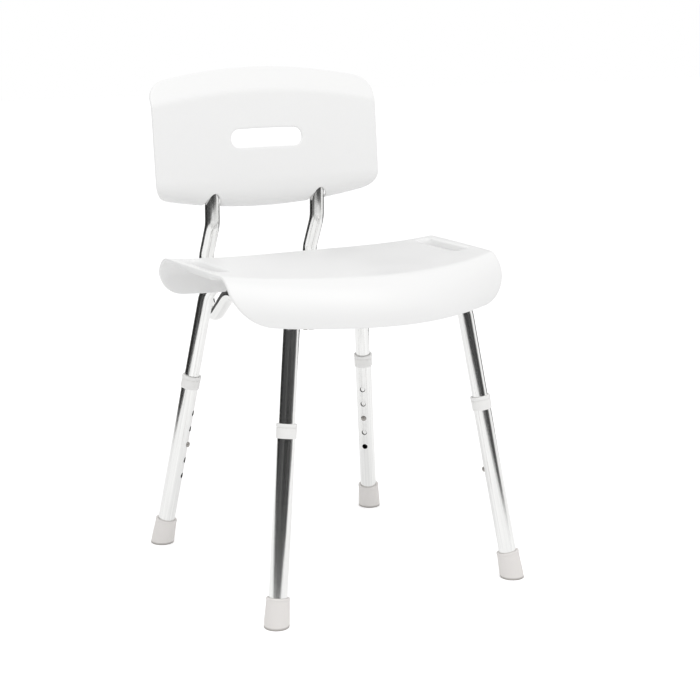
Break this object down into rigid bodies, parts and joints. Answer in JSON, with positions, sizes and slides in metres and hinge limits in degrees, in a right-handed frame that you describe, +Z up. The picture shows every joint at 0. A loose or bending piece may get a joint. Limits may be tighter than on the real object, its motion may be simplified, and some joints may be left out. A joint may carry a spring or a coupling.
{
  "type": "shower stool",
  "caption": "Shower stool with a backrest: curved white seat and back panel on a tubular aluminium frame, with splayed height-adjustable legs, collars and rubber feet.",
  "frame": {"origin": "on the floor, under the middle of the whole object's box, with the spring buttons in the middle holes", "axes": "+X to the right of someone who looks at the seat from the front, +Y from the seat's front to its back, +Z up"},
  "size_m": [0.442, 0.4442, 0.709],
  "materials": {
    "seat_plastic": "satin white moulding",
    "back_plastic": "satin white moulding",
    "polished_tube": "polished and anodised",
    "trim_plastic": "satin pale grey",
    "rubber_foot": "matt pale grey rubber",
    "steel_hardware": "zinc-plated"
  },
  "bodies": {
    "frame": {"seat_shell": "seat_plastic", "back_panel": "back_plastic", "hoop_front_left": "polished_tube", "hoop_front_right": "polished_tube", "back_tube_left": "polished_tube", "back_tube_right": "polished_tube", "top_plug_left": "trim_plastic", "top_plug_right": "trim_plastic", "rail_plug_left": "trim_plastic", "rail_plug_right": "trim_plastic", "cross_spacer": "trim_plastic", "cross_bolt": "steel_hardware", "cross_nut": "steel_hardware", "rail_spacers_short": "trim_plastic", "rail_spacers_long": "trim_plastic", "rail_bolts_short": "steel_hardware", "rail_bolts_long": "steel_hardware", "rivet_nuts": "steel_hardware", "seat_screws": "steel_hardware", "back_screws": "steel_hardware", "button_spring_front_left": "steel_hardware", "button_spring_front_right": "steel_hardware", "button_spring_rear_left": "steel_hardware", "button_spring_rear_right": "steel_hardware"},
    "lower_leg_front_left": {"leg_tube_front_left": "polished_tube", "collar_front_left": "trim_plastic", "foot_front_left": "rubber_foot"},
    "lower_leg_front_right": {"leg_tube_front_right": "polished_tube", "collar_front_right": "trim_plastic", "foot_front_right": "rubber_foot"},
    "lower_leg_rear_left": {"leg_tube_rear_left": "polished_tube", "collar_rear_left": "trim_plastic", "foot_rear_left": "rubber_foot"},
    "lower_leg_rear_right": {"leg_tube_rear_right": "polished_tube", "collar_rear_right": "trim_plastic", "foot_rear_right": "rubber_foot"},
    "button_front_left": {"snap_button_front_left": "steel_hardware"},
    "button_front_right": {"snap_button_front_right": "steel_hardware"},
    "button_rear_left": {"snap_button_rear_left": "steel_hardware"},
    "button_rear_right": {"snap_button_rear_right": "steel_hardware"}
  },
  "joints": [
    {"name": "leg_slide_front_left", "type": "slide", "parent": "frame", "child": "lower_leg_front_left", "axis": [-0.1358, -0.14, -0.9808], "range_m": [-0.05, 0.05], "deforming": ["snap_button_front_left"]},
    {"name": "leg_slide_front_right", "type": "slide", "parent": "frame", "child": "lower_leg_front_right", "axis": [0.1358, -0.14, -0.9808], "range_m": [-0.05, 0.05], "deforming": ["snap_button_front_right"]},
    {"name": "leg_slide_rear_left", "type": "slide", "parent": "frame", "child": "lower_leg_rear_left", "axis": [-0.1358, 0.14, -0.9808], "range_m": [-0.05, 0.05], "deforming": ["snap_button_rear_left"]},
    {"name": "leg_slide_rear_right", "type": "slide", "parent": "frame", "child": "lower_leg_rear_right", "axis": [0.1358, 0.14, -0.9808], "range_m": [-0.05, 0.05], "deforming": ["snap_button_rear_right"]},
    {"name": "button_press_front_left", "type": "slide", "parent": "frame", "child": "button_front_left", "axis": [-0.683, -0.7039, 0.1951], "range_m": [0, 0.0045], "stiffness_N_per_m": 900, "springref_m": -0.004, "deforming": ["button_spring_front_left"]},
    {"name": "button_press_front_right", "type": "slide", "parent": "frame", "child": "button_front_right", "axis": [0.683, -0.7039, 0.1951], "range_m": [0, 0.0045], "stiffness_N_per_m": 900, "springref_m": -0.004, "deforming": ["button_spring_front_right"]},
    {"name": "button_press_rear_left", "type": "slide", "parent": "frame", "child": "button_rear_left", "axis": [-0.683, 0.7039, 0.1951], "range_m": [0, 0.0045], "stiffness_N_per_m": 900, "springref_m": -0.004, "deforming": ["button_spring_rear_left"]},
    {"name": "button_press_rear_right", "type": "slide", "parent": "frame", "child": "button_rear_right", "axis": [0.683, 0.7039, 0.1951], "range_m": [0, 0.0045], "stiffness_N_per_m": 900, "springref_m": -0.004, "deforming": ["button_spring_rear_right"]}
  ]
}
